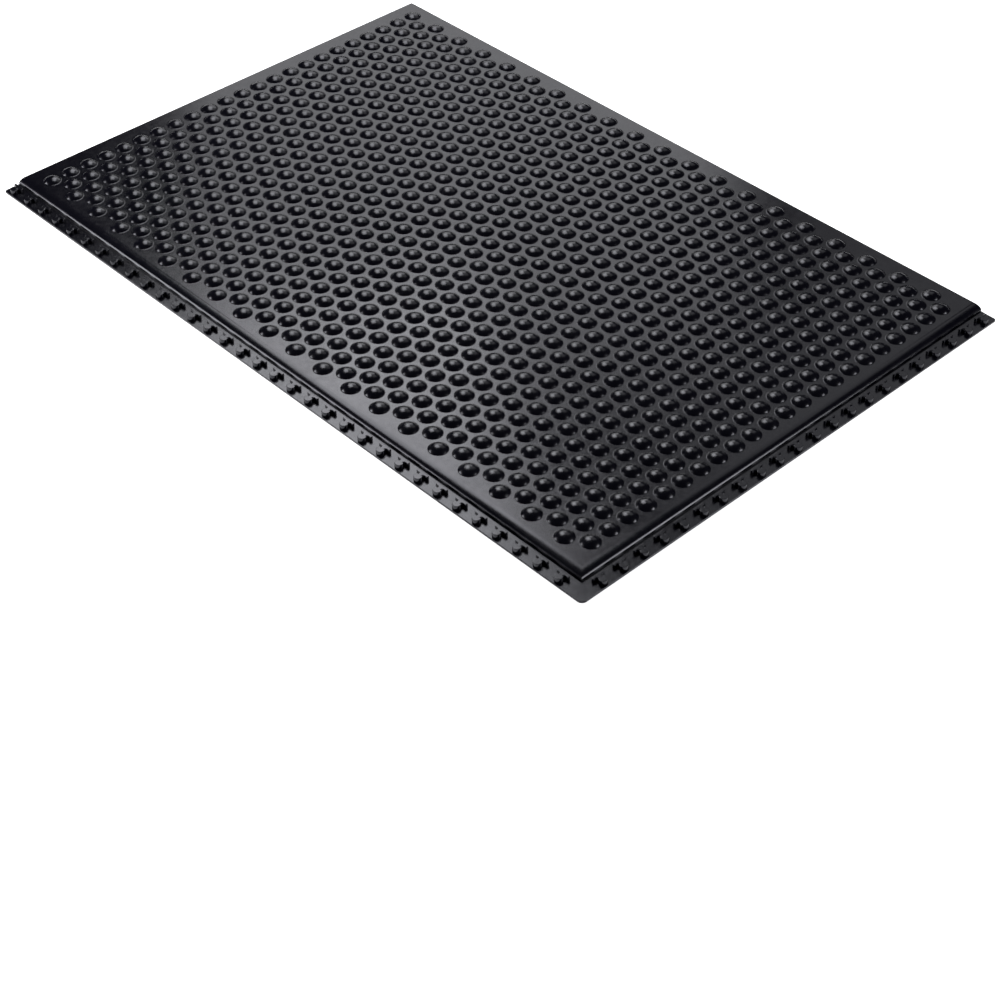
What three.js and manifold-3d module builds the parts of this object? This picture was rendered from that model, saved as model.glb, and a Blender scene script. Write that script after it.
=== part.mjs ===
// Conductive cushion mat: one moulded rubber piece with a lattice of shallow domes on its top,
// and a thin lip with linking studs along one long side and one short side.
// Millimetres. X runs along the length, Y along the width and Z up from the flat underside.
import * as THREE from "three";
import { mergeVertices } from "three/addons/utils/BufferGeometryUtils.js";
import Module from "manifold-3d";

const wasm = await Module();
wasm.setup();

// Driving sizes of the body and its lips
const bodyLength = 900;
const bodyWidth = 600;
const bodyHeight = 8;
const lipWidth = 20;
const lipHeight = 2;
const frontCornerRadius = 6;
const lipTipRadius = 3;
const edgeRadius = 1;

// The body's edge beside a lip: a low wall with a broad rounded shoulder above it
const wallRise = 0.5;
const shoulderWidth = 10;
const roundSteps = 5;

// Domes in a close-packed lattice, with each row across the width
const domePitch = 25;
const domeRadius = 10.2;
const domeHeight = 4.5;
const domeSides = 5;
const endBorder = 28;
const backBorder = 23.3;
const lipBorder = 26;

// Linking studs: a broad base towards the wall that narrows to a head near the lip's free edge
const longSideStuds = 33;
const firstStud = 10.9;
const studHeight = 5;
const studWallGap = 5.8;
const studEdgeGap = 2;
const studBaseWidth = 15;
const studBaseLength = 3;
const studHeadWidth = 8.5;

// How far a joined shape reaches into the body, and how far a cut runs past it
const rootDepth = 0.5;
const overrun = 1;

// Places that follow from the sizes, with the origin below the middle of the whole outline
const left = -(bodyLength + lipWidth) / 2;
const right = -left;
const back = (bodyWidth + lipWidth) / 2;
const front = -back;
const rightWall = right - lipWidth;
const frontWall = front + lipWidth;
const studLength = lipWidth - studWallGap - studEdgeGap;
const studPitch = bodyLength / longSideStuds;
const shortSideStuds = Math.floor(bodyWidth / studPitch + 0.01);

function solidOf(geometry) {
  const bare = geometry.index ? geometry.toNonIndexed() : geometry.clone();
  bare.deleteAttribute("normal");
  bare.deleteAttribute("uv");
  const closed = mergeVertices(bare, 1e-4);
  return new wasm.Manifold(
    new wasm.Mesh({
      numProp: 3,
      vertProperties: new Float32Array(closed.attributes.position.array),
      triVerts: new Uint32Array(closed.index.array),
    }),
  );
}

function geometryOf(solid) {
  const mesh = solid.getMesh();
  const geometry = new THREE.BufferGeometry();
  geometry.setAttribute("position", new THREE.BufferAttribute(mesh.vertProperties, 3));
  geometry.setIndex(new THREE.BufferAttribute(mesh.triVerts, 1));
  return geometry;
}

// The whole outline with its lips, seen from above
function outline() {
  const shape = new THREE.Shape();
  shape.moveTo(left + lipTipRadius, front);
  shape.lineTo(right - frontCornerRadius, front);
  shape.absarc(right - frontCornerRadius, front + frontCornerRadius, frontCornerRadius, -Math.PI / 2, 0);
  shape.lineTo(right, back - lipTipRadius);
  shape.absarc(right - lipTipRadius, back - lipTipRadius, lipTipRadius, 0, Math.PI / 2);
  shape.lineTo(left + edgeRadius, back);
  shape.absarc(left + edgeRadius, back - edgeRadius, edgeRadius, Math.PI / 2, Math.PI);
  shape.lineTo(left, front + lipTipRadius);
  shape.absarc(left + lipTipRadius, front + lipTipRadius, lipTipRadius, Math.PI, 1.5 * Math.PI);
  return shape;
}

// A section swept along the front wall and then, mitred at the corner, along the right wall.
// The section's x is the distance inward from the wall, and its y is the height.
function alongWalls(section) {
  const strip = new THREE.ExtrudeGeometry(section, { depth: 2, steps: 2, bevelEnabled: false });
  const points = strip.attributes.position;
  for (let i = 0; i < points.count; i += 1) {
    const inward = points.getX(i);
    const station = Math.round(points.getZ(i));
    const x = station === 0 ? left - overrun : rightWall - inward;
    const y = station === 2 ? back + overrun : frontWall + inward;
    points.setXYZ(i, x, y, points.getY(i));
  }
  return strip;
}

// What is cut away above the lip and above the rounded shoulder
function shoulderCut() {
  const section = new THREE.Shape();
  const wallTop = lipHeight + wallRise;
  section.moveTo(-lipWidth - overrun, bodyHeight + overrun);
  section.lineTo(-lipWidth - overrun, lipHeight);
  section.lineTo(0, lipHeight);
  section.lineTo(0, wallTop);
  for (let step = 1; step <= roundSteps; step += 1) {
    const turn = (step / roundSteps) * (Math.PI / 2);
    const inward = shoulderWidth * (1 - Math.cos(turn));
    section.lineTo(inward, wallTop + (bodyHeight - wallTop) * Math.sin(turn));
  }
  section.lineTo(shoulderWidth, bodyHeight + overrun);
  return alongWalls(section);
}

// One dome as a low cone with few sides, its root continuing down into the body
function dome(x, y) {
  const height = domeHeight + rootDepth;
  const cone = new THREE.ConeGeometry((domeRadius * height) / domeHeight, height, domeSides);
  cone.rotateX(Math.PI / 2);
  cone.translate(x, y, bodyHeight - rootDepth + height / 2);
  return cone;
}

function domes() {
  const rowStep = (domePitch * Math.sqrt(3)) / 2;
  const rows = Math.floor((bodyLength - endBorder - lipBorder) / rowStep) + 1;
  const perRow = Math.floor((bodyWidth - backBorder - lipBorder) / domePitch) + 1;
  const solids = [];
  for (let row = 0; row < rows; row += 1) {
    const shifted = row % 2;
    const x = left + endBorder + row * rowStep;
    for (let i = 0; i < perRow - shifted; i += 1) {
      const y = back - backBorder - (i + shifted / 2) * domePitch;
      solids.push(solidOf(dome(x, y)));
    }
  }
  return solids;
}

// One stud at the origin, with its base towards the wall and its head pointing outward along -Y
function stud() {
  const shape = new THREE.Shape();
  shape.moveTo(studBaseWidth / 2, 0);
  shape.lineTo(-studBaseWidth / 2, 0);
  shape.lineTo(-studHeadWidth / 2, -studBaseLength);
  shape.lineTo(-studHeadWidth / 2, -studLength);
  shape.lineTo(studHeadWidth / 2, -studLength);
  shape.lineTo(studHeadWidth / 2, -studBaseLength);
  return new THREE.ExtrudeGeometry(shape, { depth: rootDepth + studHeight, bevelEnabled: false });
}

function studs() {
  const solids = [];
  const z = lipHeight - rootDepth;
  for (let i = 0; i < longSideStuds; i += 1) {
    const x = left + firstStud + i * studPitch;
    solids.push(solidOf(stud().translate(x, frontWall - studWallGap, z)));
  }
  for (let i = 0; i < shortSideStuds; i += 1) {
    const y = back - (i + 0.5) * studPitch;
    const turned = stud().rotateZ(Math.PI / 2);
    solids.push(solidOf(turned.translate(rightWall + studWallGap, y, z)));
  }
  return solids;
}

function mat() {
  const slab = new THREE.ExtrudeGeometry(outline(), {
    depth: bodyHeight,
    bevelEnabled: false,
    curveSegments: roundSteps,
  });
  const body = solidOf(slab).subtract(solidOf(shoulderCut()));
  return geometryOf(wasm.Manifold.union([body, ...domes(), ...studs()]));
}

const rubber = new THREE.MeshStandardMaterial({ color: 0x26262b, roughness: 0.35, metalness: 0 });

const part = new THREE.Group();
const moulding = new THREE.Mesh(mat(), rubber);
moulding.name = "mat";
part.add(moulding);

export default part;
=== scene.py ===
import math

import bmesh
import bpy
from mathutils import Matrix, Vector


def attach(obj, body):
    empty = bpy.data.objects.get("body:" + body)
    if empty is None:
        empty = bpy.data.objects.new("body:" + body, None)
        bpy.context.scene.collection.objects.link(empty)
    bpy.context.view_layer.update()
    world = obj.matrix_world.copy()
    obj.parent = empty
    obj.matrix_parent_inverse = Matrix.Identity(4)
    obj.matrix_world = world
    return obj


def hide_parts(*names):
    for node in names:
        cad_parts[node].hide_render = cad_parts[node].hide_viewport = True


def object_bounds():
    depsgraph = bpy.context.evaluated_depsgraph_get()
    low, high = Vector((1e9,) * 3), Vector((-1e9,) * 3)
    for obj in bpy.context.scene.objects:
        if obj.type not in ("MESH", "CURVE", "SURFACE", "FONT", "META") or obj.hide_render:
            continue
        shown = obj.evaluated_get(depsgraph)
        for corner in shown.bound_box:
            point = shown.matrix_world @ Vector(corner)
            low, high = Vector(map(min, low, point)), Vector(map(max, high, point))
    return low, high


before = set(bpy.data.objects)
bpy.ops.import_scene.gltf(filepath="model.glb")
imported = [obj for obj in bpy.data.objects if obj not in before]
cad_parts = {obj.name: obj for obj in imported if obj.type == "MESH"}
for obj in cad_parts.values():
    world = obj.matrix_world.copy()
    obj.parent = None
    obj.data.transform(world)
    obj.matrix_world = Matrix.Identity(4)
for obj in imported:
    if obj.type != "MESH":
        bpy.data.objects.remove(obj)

cad_low, cad_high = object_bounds()


# The mat's body
# One compression-moulded slab of black conductive rubber, 8 mm thick, with a 2 mm lip along the long
# front side and the short right side. It starts as a plain sheet with its corners rounded off.

web_top = 0.008
lip_top = 0.002
lip_width = 0.020
mitre_corner = Vector((cad_high.x - lip_width, cad_low.y + lip_width, 0))
front_corner_radius = 0.006
lip_tip_radius = 0.003
plain_corner_radius = 0.001
corner_steps = 6
top_edge_radius = 0.0007
edge_steps = 3
upright_share = 0.9
tolerance = 1e-5


def deselect_everything():
    if bpy.context.object and bpy.context.object.mode == "EDIT":
        bpy.ops.object.mode_set(mode="OBJECT")
    bpy.ops.object.select_all(action="DESELECT")


def edit(piece, mode="VERT"):
    """Opens a piece in edit mode with nothing selected."""
    deselect_everything()
    bpy.context.view_layer.objects.active = piece
    piece.select_set(True)
    bpy.ops.object.mode_set(mode="EDIT")
    bpy.ops.mesh.select_mode(type=mode)
    bpy.ops.mesh.select_all(action="DESELECT")


def pick(piece, kind, wanted):
    """Selects only the vertices, edges or faces in edit mode whose middle the test wants."""
    bpy.ops.mesh.select_all(action="DESELECT")
    sketch = bmesh.from_edit_mesh(piece.data)
    for element in getattr(sketch, kind):
        if kind == "verts":
            middle = element.co
        elif kind == "edges":
            middle = (element.verts[0].co + element.verts[1].co) / 2
        else:
            middle = element.calc_center_median()
        if wanted(middle, element):
            element.select_set(True)
    sketch.select_flush_mode()
    bmesh.update_edit_mesh(piece.data)


def stands_upright(edge):
    run = edge.verts[0].co - edge.verts[1].co
    return abs(run.z) > upright_share * run.length


def round_corner(piece, corner, radius):
    edit(piece, "EDGE")
    pick(piece, "edges", lambda middle, edge: stands_upright(edge)
         and (middle.xy - Vector(corner)).length < radius)
    bpy.ops.mesh.bevel(offset=radius, segments=corner_steps)
    bpy.ops.object.mode_set(mode="OBJECT")


deselect_everything()
bpy.ops.mesh.primitive_cube_add(size=1, location=(0, 0, web_top / 2))
mat = bpy.context.object
mat.name = "mat_moulding"
mat.scale = (cad_high.x - cad_low.x, cad_high.y - cad_low.y, web_top)
bpy.ops.object.transform_apply(location=True, rotation=True, scale=True)
round_corner(mat, (cad_high.x, cad_low.y), front_corner_radius)
round_corner(mat, (cad_low.x, cad_low.y), lip_tip_radius)
round_corner(mat, (cad_high.x, cad_high.y), lip_tip_radius)
round_corner(mat, (cad_low.x, cad_high.y), plain_corner_radius)


def on_outline(point):
    """Whether a point lies on the slab's sides or on one of its rounded corners."""
    inside = min(point.x - cad_low.x, cad_high.x - point.x, point.y - cad_low.y, cad_high.y - point.y)
    ends = min(abs(point.x - cad_low.x), abs(point.x - cad_high.x))
    sides = min(abs(point.y - cad_low.y), abs(point.y - cad_high.y))
    return inside < tolerance or max(ends, sides) < front_corner_radius


def round_rim(piece, height, radius):
    """Rounds the outer edges of a piece's upper face that lie at one height."""
    edit(piece, "EDGE")
    pick(piece, "edges", lambda middle, edge: on_outline(middle)
         and all(abs(vertex.co.z - height) < tolerance for vertex in edge.verts))
    bpy.ops.mesh.bevel(offset=radius, segments=edge_steps)
    bpy.ops.object.mode_set(mode="OBJECT")


round_rim(mat, web_top, top_edge_radius)


# The lip and the shoulder
# The mould leaves a thin lip along two sides. Beside it the web rolls over in a broad round shoulder
# that ends in a low upright wall. Both are mitred at the front corner.

wall_rise = 0.0012
shoulder_width = 0.0115
round_steps = 14
lip_edge_radius = 0.0005
overrun = 0.03
mitre_way = Vector((1, 1, 0))


def chain_of_vertices(name, points):
    """Draws a closed outline by extruding one vertex from point to point, and fills it."""
    deselect_everything()
    bpy.ops.mesh.primitive_plane_add(size=1)
    sketch = bpy.context.object
    sketch.name = name
    edit(sketch)
    pick(sketch, "verts", lambda middle, vertex: vertex.index > 0)
    bpy.ops.mesh.delete(type="VERT")
    bpy.ops.mesh.select_all(action="SELECT")
    start = bmesh.from_edit_mesh(sketch.data).verts[:][0].co.copy()
    bpy.ops.transform.translate(value=points[0] - start)
    for before, after in zip(points, points[1:]):
        bpy.ops.mesh.extrude_region_move(TRANSFORM_OT_translate={"value": after - before})
    bpy.ops.mesh.select_all(action="SELECT")
    bpy.ops.mesh.edge_face_add()
    return sketch


def mitred_strip(name, section):
    """Runs a section along the front wall, mitres it at the corner and runs on along the right wall."""
    start = Vector((cad_low.x - overrun, mitre_corner.y, 0))
    strip = chain_of_vertices(name, [start + Vector((0, inward, up)) for inward, up in section])
    past_corner = mitre_corner.x - start.x + overrun
    bpy.ops.mesh.extrude_region_move(TRANSFORM_OT_translate={"value": (past_corner, 0, 0)})
    bpy.ops.mesh.select_all(action="SELECT")
    bpy.ops.mesh.bisect(plane_co=mitre_corner, plane_no=mitre_way, clear_outer=True, use_fill=True)
    pick(strip, "faces", lambda middle, face: abs((middle - mitre_corner).dot(mitre_way)) < tolerance)
    along_right_wall = cad_high.y - mitre_corner.y + 2 * overrun
    bpy.ops.mesh.extrude_region_move(TRANSFORM_OT_translate={"value": (0, along_right_wall, 0)})
    bpy.ops.mesh.select_all(action="SELECT")
    bpy.ops.mesh.normals_make_consistent(inside=False)
    bpy.ops.object.mode_set(mode="OBJECT")
    return strip


def join_or_cut(piece, tool, operation, solver="EXACT"):
    """Joins a tool solid to a piece or cuts it away, and removes the tool."""
    deselect_everything()
    bpy.context.view_layer.objects.active = piece
    piece.select_set(True)
    boolean = piece.modifiers.new(operation.lower(), "BOOLEAN")
    boolean.object = tool
    boolean.operation = operation
    boolean.solver = solver
    bpy.ops.object.modifier_apply(modifier=boolean.name)
    bpy.data.objects.remove(tool)


wall_top = lip_top + wall_rise
shoulder_rise = web_top - wall_top
shoulder_section = [(-lip_width - overrun, web_top + overrun), (-lip_width - overrun, lip_top), (0, lip_top)]
for step in range(round_steps + 1):
    turn = step / round_steps * math.pi / 2
    inward = shoulder_width * (1 - math.cos(turn))
    shoulder_section.append((inward, wall_top + shoulder_rise * math.sin(turn)))
shoulder_section.append((shoulder_width, web_top + overrun))
join_or_cut(mat, mitred_strip("lip_cut", shoulder_section), "DIFFERENCE")
round_rim(mat, lip_top, lip_edge_radius)


# The domes
# Shallow caps of a sphere, solid with the web, that cushion the foot. They stand close-packed, each
# row across the width shifted half a pitch from the last, and a small fillet runs round the foot of each.

dome_pitch = 0.025
row_step = dome_pitch * math.sqrt(3) / 2
end_border = 0.028
back_border = 0.0233
first_row = cad_low.x + end_border
first_dome = cad_high.y - back_border
rows = 40
domes_in_row = 23
dome_radius = 0.0104
dome_height = 0.0045
fillet_reach = 0.0007
dome_sides = 16
dome_bands = 3
root_depth = 0.0005

ball_radius = (dome_radius ** 2 + dome_height ** 2) / (2 * dome_height)
edge_turn = math.asin(dome_radius / ball_radius)
fillet_foot = dome_radius + fillet_reach
fillet_top = dome_radius - fillet_reach * math.cos(edge_turn)
cap_turn = math.asin(fillet_top / ball_radius)

deselect_everything()
bpy.ops.mesh.primitive_circle_add(vertices=dome_sides, radius=fillet_foot, fill_type="NGON",
                                  location=(first_row, first_dome, web_top - root_depth))
domes = bpy.context.object
domes.name = "domes"
bpy.ops.object.transform_apply(location=True, rotation=True, scale=True)
edit(domes, "FACE")
bpy.ops.mesh.select_all(action="SELECT")


def next_ring(height, radius, last_radius, rise_from):
    """Extrudes the dome's top face to the next ring of its profile."""
    bpy.ops.mesh.extrude_region_move(TRANSFORM_OT_translate={"value": (0, 0, height - rise_from)})
    share = radius / last_radius
    bpy.ops.transform.resize(value=(share, share, 1), center_override=(first_row, first_dome, 0))


profile = [(0, fillet_foot)]
for band in range(dome_bands):
    turn = cap_turn * (1 - band / dome_bands)
    profile.append((dome_height - ball_radius * (1 - math.cos(turn)), ball_radius * math.sin(turn)))
height, radius = -root_depth, fillet_foot
for next_height, next_radius in profile:
    next_ring(next_height, next_radius, radius, height)
    height, radius = next_height, next_radius
bpy.ops.mesh.extrude_region_move(TRANSFORM_OT_translate={"value": (0, 0, dome_height - height)})
bpy.ops.mesh.merge(type="CENTER")
bpy.ops.mesh.select_all(action="SELECT")
bpy.ops.mesh.normals_make_consistent(inside=False)
bpy.ops.object.mode_set(mode="OBJECT")


def repeat(piece, count, step):
    """Copies a piece along a line and makes the copies part of its mesh."""
    array = piece.modifiers.new("row", "ARRAY")
    array.use_relative_offset = False
    array.use_constant_offset = True
    array.constant_offset_displace = step
    array.count = count
    deselect_everything()
    bpy.context.view_layer.objects.active = piece
    piece.select_set(True)
    bpy.ops.object.modifier_apply(modifier=array.name)


def copy_of(piece, name, shift):
    """A copy with a mesh of its own, shifted in its mesh."""
    twin = piece.copy()
    twin.data = piece.data.copy()
    twin.name = name
    twin.data.transform(Matrix.Translation(shift))
    bpy.context.collection.objects.link(twin)
    return twin


def join(piece, other):
    deselect_everything()
    other.select_set(True)
    piece.select_set(True)
    bpy.context.view_layer.objects.active = piece
    bpy.ops.object.join()


shifted_domes = copy_of(domes, "shifted_domes", (row_step, -dome_pitch / 2, 0))
repeat(domes, domes_in_row, (0, -dome_pitch, 0))
repeat(domes, rows // 2, (2 * row_step, 0, 0))
repeat(shifted_domes, domes_in_row - 1, (0, -dome_pitch, 0))
repeat(shifted_domes, rows // 2, (2 * row_step, 0, 0))
join(domes, shifted_domes)


# The linking studs
# Flat-topped studs like pawns: a broad base towards the wall, a neck between two round notches and a
# round head towards the lip's free edge. They press into sockets under the next mat's edge.

studs_on_long_lip = 33
studs_on_short_lip = 22
stud_pitch = (mitre_corner.x - cad_low.x) / studs_on_long_lip
stud_height = 0.005
first_stud = 0.0109
stud_wall_gap = 0.0058
stud_length = 0.0122
base_half_width = 0.0075
base_depth = 0.003
neck_half_width = 0.0022
head_radius = 0.0045
base_corner = 0.0008
notch_radius = 0.0016
notch_end = 200
head_start, head_end = 50, -80
arc_steps = 4
corner_arc_steps = 2
stud_edge = 0.0006
stud_edge_steps = 2


def arc(centre, radius, start, end, steps):
    """Points on an arc in the plan, with its angles in degrees."""
    found = []
    for step in range(steps + 1):
        turn = math.radians(start + (end - start) * step / steps)
        found.append(Vector((centre[0] + radius * math.cos(turn), centre[1] + radius * math.sin(turn), 0)))
    return found


head_centre = (0, head_radius - stud_length)
notch_centre = (neck_half_width + notch_radius, -base_depth - notch_radius)
corner_place = base_half_width - base_corner
right_half = arc((corner_place, -base_corner), base_corner, 90, 0, corner_arc_steps)
right_half += arc((corner_place, base_corner - base_depth), base_corner, 0, -90, corner_arc_steps)
right_half += arc(notch_centre, notch_radius, 90, notch_end, arc_steps)
right_half += arc(head_centre, head_radius, head_start, head_end, 2 * arc_steps)
left_half = [Vector((-point.x, point.y, 0)) for point in reversed(right_half)]
foot = Vector((cad_low.x + first_stud, mitre_corner.y - stud_wall_gap, lip_top - root_depth))
studs = chain_of_vertices("studs", [foot + point for point in right_half + left_half])
bpy.ops.mesh.extrude_region_move(TRANSFORM_OT_translate={"value": (0, 0, root_depth + stud_height)})
bpy.ops.mesh.select_mode(type="EDGE")
stud_top = lip_top + stud_height
pick(studs, "edges", lambda middle, edge: abs(middle.z - stud_top) < tolerance)
bpy.ops.mesh.bevel(offset=stud_edge, segments=stud_edge_steps)
bpy.ops.mesh.select_all(action="SELECT")
bpy.ops.mesh.normals_make_consistent(inside=False)
bpy.ops.object.mode_set(mode="OBJECT")

short_lip_studs = copy_of(studs, "short_lip_studs", -foot)
quarter_turn = Matrix.Rotation(math.pi / 2, 4, "Z")
short_foot = Vector((mitre_corner.x + stud_wall_gap, cad_high.y - stud_pitch / 2, foot.z))
short_lip_studs.data.transform(Matrix.Translation(short_foot) @ quarter_turn)
repeat(studs, studs_on_long_lip, (stud_pitch, 0, 0))
repeat(short_lip_studs, studs_on_short_lip, (0, -stud_pitch, 0))
join(studs, short_lip_studs)

join_or_cut(mat, studs, "UNION", "MANIFOLD")
join_or_cut(mat, domes, "UNION", "MANIFOLD")


# The moulding's skin
# Level faces stay level up to their rims, and the domes are shaded as true spheres.

smooth_angle = math.radians(24)
level_rise = 0.9999
open_rise = 0.6

deselect_everything()
mat.select_set(True)
bpy.context.view_layer.objects.active = mat
bpy.ops.object.shade_smooth_by_angle(angle=smooth_angle)


def dome_normal(point):
    """The true direction of the surface at a point of a dome's cap, or None off the domes."""
    row = round((point.x - first_row) / row_step)
    row_start = first_dome - (row % 2) * dome_pitch / 2
    column = round((row_start - point.y) / dome_pitch)
    centre = Vector((first_row + row * row_step, row_start - column * dome_pitch, 0))
    if (point.xy - centre.xy).length > fillet_foot or point.z < web_top + tolerance:
        return None
    centre.z = web_top + dome_height - ball_radius
    return (point - centre).normalized()


def corner_normals(piece):
    """Each face corner's direction, or none where it follows from the faces that meet there."""
    piece_mesh = piece.data
    level = set()
    for face in piece_mesh.polygons:
        if face.normal.z > level_rise:
            level.update(face.vertices)
    found = []
    for face in piece_mesh.polygons:
        lies_open = face.normal.z > open_rise
        for index in face.vertices:
            normal = dome_normal(piece_mesh.vertices[index].co) if lies_open else None
            if lies_open and normal is None and index in level:
                normal = Vector((0, 0, 1))
            found.append(normal or Vector((0, 0, 0)))
    return found


mat.data.normals_split_custom_set(corner_normals(mat))


# The rubber
# Carbon-filled rubber straight from the mould: nearly black, with a satin skin whose gloss drifts in
# soft blotches, and a fine grain too small to see as more than a softened reflection.

rubber_black = (0.0008, 0.0007, 0.0024, 1)
rubber_bloom = (0.0022, 0.0021, 0.0044, 1)
cool_sheen = (0.90, 0.91, 1, 1)
refraction = 1.5
noise_low, noise_high = 0.3, 0.7
drift_cells, gloss_cells, fine_gloss_cells = 9, 14, 160
grain_cells, grain_depth = 1800, 0.00002
wave_cells, wave_depth = 60, 0.00006
rubber = bpy.data.materials.new("conductive_rubber")
rubber.use_nodes = True
nodes, links = rubber.node_tree.nodes, rubber.node_tree.links
skin = nodes["Principled BSDF"]
skin.inputs["IOR"].default_value = refraction
skin.inputs["Specular Tint"].default_value = cool_sheen
place = nodes.new("ShaderNodeTexCoord").outputs["Object"]


def noise(scale, detail):
    """A noise over the piece's own coordinates, with its scale in cells to the metre."""
    texture = nodes.new("ShaderNodeTexNoise")
    texture.inputs["Scale"].default_value = scale
    texture.inputs["Detail"].default_value = detail
    links.new(place, texture.inputs["Vector"])
    return texture.outputs[0]


def spread(source, low, high):
    """Stretches a noise's middle range to run from one value to another."""
    ramp = nodes.new("ShaderNodeMapRange")
    ramp.inputs["From Min"].default_value = noise_low
    ramp.inputs["From Max"].default_value = noise_high
    ramp.inputs["To Min"].default_value = low
    ramp.inputs["To Max"].default_value = high
    links.new(source, ramp.inputs["Value"])
    return ramp.outputs["Result"]


def total(first, second):
    adder = nodes.new("ShaderNodeMath")
    adder.operation = "ADD"
    links.new(first, adder.inputs[0])
    links.new(second, adder.inputs[1])
    return adder.outputs["Value"]


drift = nodes.new("ShaderNodeMix")
drift.data_type = "RGBA"
drift.inputs["A"].default_value = rubber_black
drift.inputs["B"].default_value = rubber_bloom
links.new(spread(noise(drift_cells, 3), 0, 1), drift.inputs["Factor"])
links.new(drift.outputs["Result"], skin.inputs["Base Color"])

blotches = spread(noise(gloss_cells, 2), 0.16, 0.21)
gloss = total(blotches, spread(noise(fine_gloss_cells, 3), 0, 0.06))
links.new(gloss, skin.inputs["Roughness"])

grain = nodes.new("ShaderNodeBump")
grain.inputs["Distance"].default_value = grain_depth
links.new(noise(grain_cells, 2), grain.inputs["Height"])
waves = nodes.new("ShaderNodeBump")
waves.inputs["Distance"].default_value = wave_depth
links.new(noise(wave_cells, 1), waves.inputs["Height"])
links.new(waves.outputs["Normal"], grain.inputs["Normal"])
links.new(grain.outputs["Normal"], skin.inputs["Normal"])
mat.data.materials.clear()
mat.data.materials.append(rubber)

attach(mat, "root")
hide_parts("mat")


# The floor
# A plain pale studio floor under the mat. It isn't part of the object.

floor_size = 8
floor_drop = 0.0002
floor_white = (0.9, 0.9, 0.9, 1)
floor_roughness = 0.9
floor_glow = 0.9

deselect_everything()
bpy.ops.mesh.primitive_plane_add(size=floor_size, location=(0, 0, -floor_drop))
floor = bpy.context.object
floor.name = "floor"
pale = bpy.data.materials.new("pale_floor")
pale.use_nodes = True
paint = pale.node_tree.nodes["Principled BSDF"]
paint.inputs["Base Color"].default_value = floor_white
paint.inputs["Roughness"].default_value = floor_roughness
paint.inputs["Emission Color"].default_value = (1, 1, 1, 1)
paint.inputs["Emission Strength"].default_value = floor_glow
floor.data.materials.append(pale)


# The studio light
# Plain softboxes round the mat: the key above its left end, a broad one low behind it, a dim one behind
# its far corner and one on either side. They all face the middle of the mat, and the room around them is dim.


room_tint = (0.75, 0.75, 1, 1)
room_strength = 0.04


def softbox(name, location, width, height, radiance):
    """A rectangular light of an even brightness that faces the middle of the mat."""
    light = bpy.data.lights.new(name, "AREA")
    light.shape = "RECTANGLE"
    light.size = width
    light.size_y = height
    light.energy = radiance * math.pi * width * height
    lamp = bpy.data.objects.new(name, light)
    lamp.location = location
    lamp.rotation_euler = (-Vector(location)).to_track_quat("-Z", "Y").to_euler()
    bpy.context.collection.objects.link(lamp)
    return lamp


softbox("key_softbox", (-0.728, 0.380, 1.231), 0.636, 0.926, 4.8)
softbox("back_softbox", (-1.054, 0.951, 0.80), 1.012, 0.82, 1.75)
softbox("left_softbox", (-0.869, -1.073, 0.45), 0.80, 0.70, 7.0)
softbox("right_softbox", (1.585, 0.728, 0.758), 0.70, 0.80, 6.6)
softbox("far_softbox", (-0.25, 1.25, 1.34), 0.7, 1.1, 0.6)
world = bpy.data.worlds.new("room")
world.use_nodes = True
room_light = world.node_tree.nodes["Background"]
room_light.inputs["Color"].default_value = room_tint
room_light.inputs["Strength"].default_value = room_strength
bpy.context.scene.world = world
bpy.context.scene.view_settings.view_transform = "Standard"


# The camera
# It stands in front of the mat's front corner and looks down at the photograph's angle.

camera_place = Vector((1.3898, -1.30775, 1.3364))
camera_target = Vector((0.30865, -0.26741, 0.003))
camera_roll = 0.0055
lens = 76.22
camera = bpy.data.objects.new("camera", bpy.data.cameras.new("camera"))
camera.data.lens = lens
camera.location = camera_place
aim = (camera_target - camera_place).to_track_quat("-Z", "Y").to_matrix()
camera.rotation_euler = (aim @ Matrix.Rotation(camera_roll, 3, "Z")).to_euler()
bpy.context.collection.objects.link(camera)
bpy.context.scene.camera = camera
